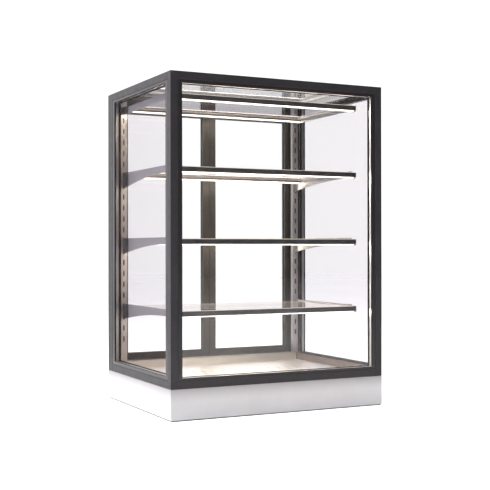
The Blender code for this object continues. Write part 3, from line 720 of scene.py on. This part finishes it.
def add_louvre_lips(looks):
    """A thin rolled lip round each louvre in the plinth's rear wall."""
    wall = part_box("plinth_shell")[1].y
    width, length = LOUVRE_SIZE
    section = [(0.0002, 0.0001), (0.0011, 0.0001), (0.0009, 0.0006), (0.0004, 0.0006)]
    for k in range(LOUVRE_COUNT):
        x = LOUVRE_FIRST[0] + LOUVRE_PITCH * k
        sections = []
        for end in (1, -1):
            z = LOUVRE_FIRST[1] + end * (length - width) / 2
            for step in range(9):
                turn = pi * step / 8
                spoke = Vector((end * cos(turn), 0, end * sin(turn)))
                sections.append([Vector((x, wall + v, z)) + spoke * (width / 2 + u) for u, v in section])
        verts, faces = sweep(sections, closed=True)
        piece_from(f"louvre_lip_{k + 1}", verts, faces, looks["plinth"], "case", True)


# ================================================================ surroundings
def add_floor():
    """A pale floor that fades into the white backdrop far from the object."""
    mesh = bpy.data.meshes.new("floor")
    corners = [(x * FLOOR_SIZE, y * FLOOR_SIZE, 0) for x, y in ((-1, -1), (1, -1), (1, 1), (-1, 1))]
    mesh.from_pydata(corners, [], [(0, 1, 2, 3)])
    material, tree, shader = principled("pale_floor", (0.93, 0.93, 0.935), 0.9)
    tone = noise(tree, position(tree), 2.0)
    link(tree, mix_colour(tree, tone, (0.92, 0.92, 0.925), (0.94, 0.94, 0.945)), shader.inputs["Base Color"])
    away = tree.nodes.new("ShaderNodeVectorMath")
    away.operation = "LENGTH"
    link(tree, position(tree), away.inputs[0])
    fade = spread(tree, away.outputs["Value"], *FLOOR_FADE, 0, 1)
    shader.inputs["Emission Color"].default_value = (1, 1, 1, 1)
    seen = tree.nodes.new("ShaderNodeLightPath").outputs["Is Camera Ray"]
    link(tree, math(tree, "MULTIPLY", seen, FLOOR_GLOW), shader.inputs["Emission Strength"])
    clear = tree.nodes.new("ShaderNodeBsdfTransparent")
    whole = tree.nodes.new("ShaderNodeMixShader")
    link(tree, fade, whole.inputs[0])
    link(tree, shader.outputs[0], whole.inputs[1])
    link(tree, clear.outputs[0], whole.inputs[2])
    link(tree, whole.outputs[0], tree.nodes["Material Output"].inputs["Surface"])
    mesh.materials.append(material)
    floor = bpy.data.objects.new("floor", mesh)
    bpy.context.scene.collection.objects.link(floor)


def add_lights():
    for name, (place, target, size, power) in SOFTBOXES.items():
        data = bpy.data.lights.new(name, "AREA")
        data.shape = "RECTANGLE"
        data.size = data.size_y = size
        data.energy = power
        light = bpy.data.objects.new(name, data)
        light.location = place
        light.rotation_euler = (Vector(target) - Vector(place)).to_track_quat("-Z", "Y").to_euler()
        light.visible_camera = False
        bpy.context.scene.collection.objects.link(light)


def set_world():
    """White where the camera or a mirror looks at it. Elsewhere a light that is bright behind and to the
    left, and dim in front and to the right."""
    world = bpy.data.worlds.new("studio")
    bpy.context.scene.world = world
    world.use_nodes = True
    tree = world.node_tree
    seen = tree.nodes["Background"]
    seen.inputs["Color"].default_value = (1, 1, 1, 1)
    seen.inputs["Strength"].default_value = BACKDROP
    lit = add(tree, "ShaderNodeBackground", color=(0.98, 0.97, 1.0, 1))
    place = tree.nodes.new("ShaderNodeTexCoord")
    towards = tree.nodes.new("ShaderNodeVectorMath")
    towards.operation = "DOT_PRODUCT"
    towards.inputs[1].default_value = BRIGHT_SIDE
    link(tree, place.outputs["Generated"], towards.inputs[0])
    link(tree, spread(tree, towards.outputs["Value"], -0.9, 0.8, AMBIENT_DARK, AMBIENT_BRIGHT),
         lit.inputs["Strength"])
    path = tree.nodes.new("ShaderNodeLightPath")
    both = tree.nodes.new("ShaderNodeMixShader")
    behind = math(tree, "GREATER_THAN", component(tree, place.outputs["Generated"], 1), 0.2)
    mirrored = math(tree, "MULTIPLY", behind, path.outputs["Is Singular Ray"])
    link(tree, math(tree, "MAXIMUM", path.outputs["Is Camera Ray"], mirrored), both.inputs[0])
    link(tree, lit.outputs[0], both.inputs[1])
    link(tree, seen.outputs[0], both.inputs[2])
    link(tree, both.outputs[0], tree.nodes["World Output"].inputs["Surface"])


def add_camera():
    turn, pitch, roll = (radians(a) for a in (CAMERA_AZIMUTH, CAMERA_PITCH, CAMERA_ROLL))
    forward = Vector((sin(turn) * cos(pitch), cos(turn) * cos(pitch), sin(pitch)))
    level = Vector((cos(turn), -sin(turn), 0))
    upright = level.cross(forward)
    right = level * cos(roll) + upright * sin(roll)
    up = upright * cos(roll) - level * sin(roll)
    data = bpy.data.cameras.new("camera")
    data.lens = CAMERA_LENS
    data.sensor_width = CAMERA_SENSOR
    data.clip_start, data.clip_end = 0.05, 100.0
    camera = bpy.data.objects.new("camera", data)
    turned_to = Matrix((right, up, -forward)).transposed().to_4x4()
    camera.matrix_world = Matrix.Translation(CAMERA_PLACE) @ turned_to
    bpy.context.scene.collection.objects.link(camera)
    bpy.context.scene.camera = camera


def set_render():
    scene = bpy.context.scene
    scene.view_settings.view_transform = "Standard"
    scene.view_settings.look = "None"
    scene.cycles.max_bounces = 16
    scene.cycles.transparent_max_bounces = 48
    scene.cycles.caustics_reflective = False


def main():
    looks = make_materials()
    dress_cad(looks)
    for shelf in SHELVES:
        add_led_strip(f"{shelf}_front_led_strip", f"{shelf}_front_profile", shelf, looks)
        add_led_strip(f"{shelf}_rear_led_strip", f"{shelf}_rear_crossbar", shelf, looks)
        add_end_caps(shelf, looks)
    add_beads(looks)
    add_door_gaskets(looks)
    add_power_details(looks)
    add_driver_details(looks)
    add_fan_guard(looks)
    add_louvre_lips(looks)
    add_floor()
    add_lights()
    set_world()
    add_camera()
    set_render()


main()
